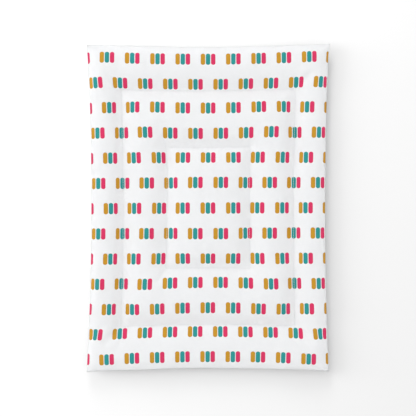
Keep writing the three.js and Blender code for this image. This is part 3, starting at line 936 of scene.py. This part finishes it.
def wadding_material(name):
    """Lofty polyester fibre: matted crossing fibres with small hollows."""
    m = Nodes(name)
    tc = m.t.nodes.new("ShaderNodeTexCoord")
    o = tc.outputs["Object"]
    x, y, z = m.xyz(o)
    warped = m.vec(m.math("ADD", x, m.math("MULTIPLY", m.noise(o, 45., 2.), .02)),
                   m.math("ADD", y, m.math("MULTIPLY", m.noise(o, 52., 2.), .02)), z)
    a, b, c = m.xyz(warped)
    f1 = m.noise(m.vec(m.math("MULTIPLY", a, 900.), m.math("MULTIPLY", b, 60.), m.math("MULTIPLY", c, 400.)), 1., 3.)
    f2 = m.noise(m.vec(m.math("MULTIPLY", a, 70.), m.math("MULTIPLY", b, 950.), m.math("MULTIPLY", c, 400.)), 1., 3.)
    f3 = m.noise(m.vec(m.math("MULTIPLY", m.math("ADD", a, b), 650.), m.math("MULTIPLY", m.math("SUBTRACT", a, b), 55.), 0.), 1., 3.)
    fibre = m.math("MAXIMUM", m.math("MAXIMUM", f1, f2), f3)
    tuft = m.noise(o, 60., 4., .6)
    tone = m.math("ADD", m.math("MULTIPLY_ADD", fibre, .30, .80), m.math("MULTIPLY_ADD", tuft, .14, -.07))
    m.put(m.bsdf.inputs["Base Color"], m.node("ShaderNodeVectorMath", operation="SCALE", Vector=(.86, .855, .83), Scale=tone))
    m.bsdf.inputs["Roughness"].default_value = .95
    m.bsdf.inputs["Sheen Weight"].default_value = .3
    m.put(m.bsdf.inputs["Normal"], m.bump(m.math("ADD", fibre, m.math("MULTIPLY", tuft, 1.5)), .7, .0012))
    return m.mat


def satin_material(name):
    """Woven satin tape: fine floats along its length, selvedges at both sides, no marks."""
    m = Nodes(name)
    tc = m.t.nodes.new("ShaderNodeTexCoord")
    o = tc.outputs["Object"]
    x, y, z = m.xyz(o)
    floats = m.noise(m.vec(m.math("MULTIPLY", x, 160.), m.math("MULTIPLY", y, 3600.), 0.), 1., 2.)
    ribs = m.math("SINE", m.math("MULTIPLY", y, 2 * math.pi / .0006))
    tone = m.math("ADD", m.math("MULTIPLY_ADD", floats, .08, .96), m.math("MULTIPLY", ribs, .012))
    m.put(m.bsdf.inputs["Base Color"], m.node("ShaderNodeVectorMath", operation="SCALE", Vector=(.86, .865, .87), Scale=tone))
    m.put(m.bsdf.inputs["Roughness"], m.math("MULTIPLY_ADD", floats, .18, .28))
    m.bsdf.inputs["Sheen Weight"].default_value = .1
    m.put(m.bsdf.inputs["Normal"], m.bump(m.math("ADD", ribs, floats), .25, .00008))
    return m.mat


printed_cloth = cloth("printed_cotton_weave", SPAN, True)
plain_cloth = cloth("plain_cotton_weave", SPAN, False)
quilt_thread = thread_material("quilting_thread", (.82, .825, .835))
seam_thread = thread_material("seam_thread_spun", (.80, .80, .79))
wool = wadding_material("polyester_wadding")
satin = satin_material("label_satin_weave")

top_cover.data.materials.append(printed_cloth)
base_cover.data.materials.append(plain_cloth)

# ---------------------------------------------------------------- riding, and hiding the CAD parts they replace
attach(top_cover, "root")
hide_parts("top_cover")
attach(base_cover, "root")
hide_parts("base_cover")
for ob, node, slot in thread_objects:
    ob.data.materials.append(quilt_thread if slot == "quilt_thread" else seam_thread)
    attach(ob, "root")
    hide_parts(node)
for ob, node in fillings:
    ob.data.materials.append(wool)
    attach(ob, "root")
    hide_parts(node)
label.data.materials.append(satin)
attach(label, "root")
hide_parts("care_label")
label_sewing.data.materials.append(seam_thread)
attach(label_sewing, "root")
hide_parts("care_label_stitching")

# ---------------------------------------------------------------- floor, light, camera
me = bpy.data.meshes.new("floor")
me.from_pydata([(-6, -6, 0), (6, -6, 0), (6, 6, 0), (-6, 6, 0)], [], [(0, 1, 2, 3)])
floor = bpy.data.objects.new("floor", me)
bpy.context.collection.objects.link(floor)
floor.location.z = -.0002
f = Nodes("floor_paper")
f.bsdf.inputs["Base Color"].default_value = (.772, .772, .772, 1)
f.bsdf.inputs["Roughness"].default_value = .9
f.bsdf.inputs["Specular IOR Level"].default_value = .1
me.materials.append(f.mat)

scene = bpy.context.scene
scene.view_settings.view_transform = "Standard"
world = bpy.data.worlds.new("studio")
scene.world = world
world.use_nodes = True
world.node_tree.nodes["Background"].inputs[0].default_value = (1., 1., 1., 1)
world.node_tree.nodes["Background"].inputs[1].default_value = WORLD


def area(name, place, target, size, watts, colour=(1, 1, 1)):
    light = bpy.data.lights.new(name, "AREA")
    light.shape = "RECTANGLE"
    light.size, light.size_y = size
    light.energy = watts
    light.color = colour
    ob = bpy.data.objects.new(name, light)
    bpy.context.collection.objects.link(ob)
    ob.location = place
    ob.visible_camera = False
    ob.rotation_mode = "QUATERNION"
    ob.rotation_quaternion = (Vector(target) - Vector(place)).to_track_quat("-Z", "Y")
    return ob


for args in LIGHTS:
    area(*args)
ground = bpy.data.collections.new("ground")
ground.objects.link(floor)
for args in FLOOR_LIGHTS:
    area(*args).light_linking.receiver_collection = ground

cam = bpy.data.cameras.new("camera")
cam.lens = 100
cam.sensor_width = 36
camera = bpy.data.objects.new("camera", cam)
bpy.context.collection.objects.link(camera)
MM_PER_PX = .002061
camera.location = (-.0003, .0002, 416 * MM_PER_PX * cam.lens / cam.sensor_width + .012)
camera.rotation_euler = (0, 0, 0)
cam.clip_end = 50
scene.camera = camera
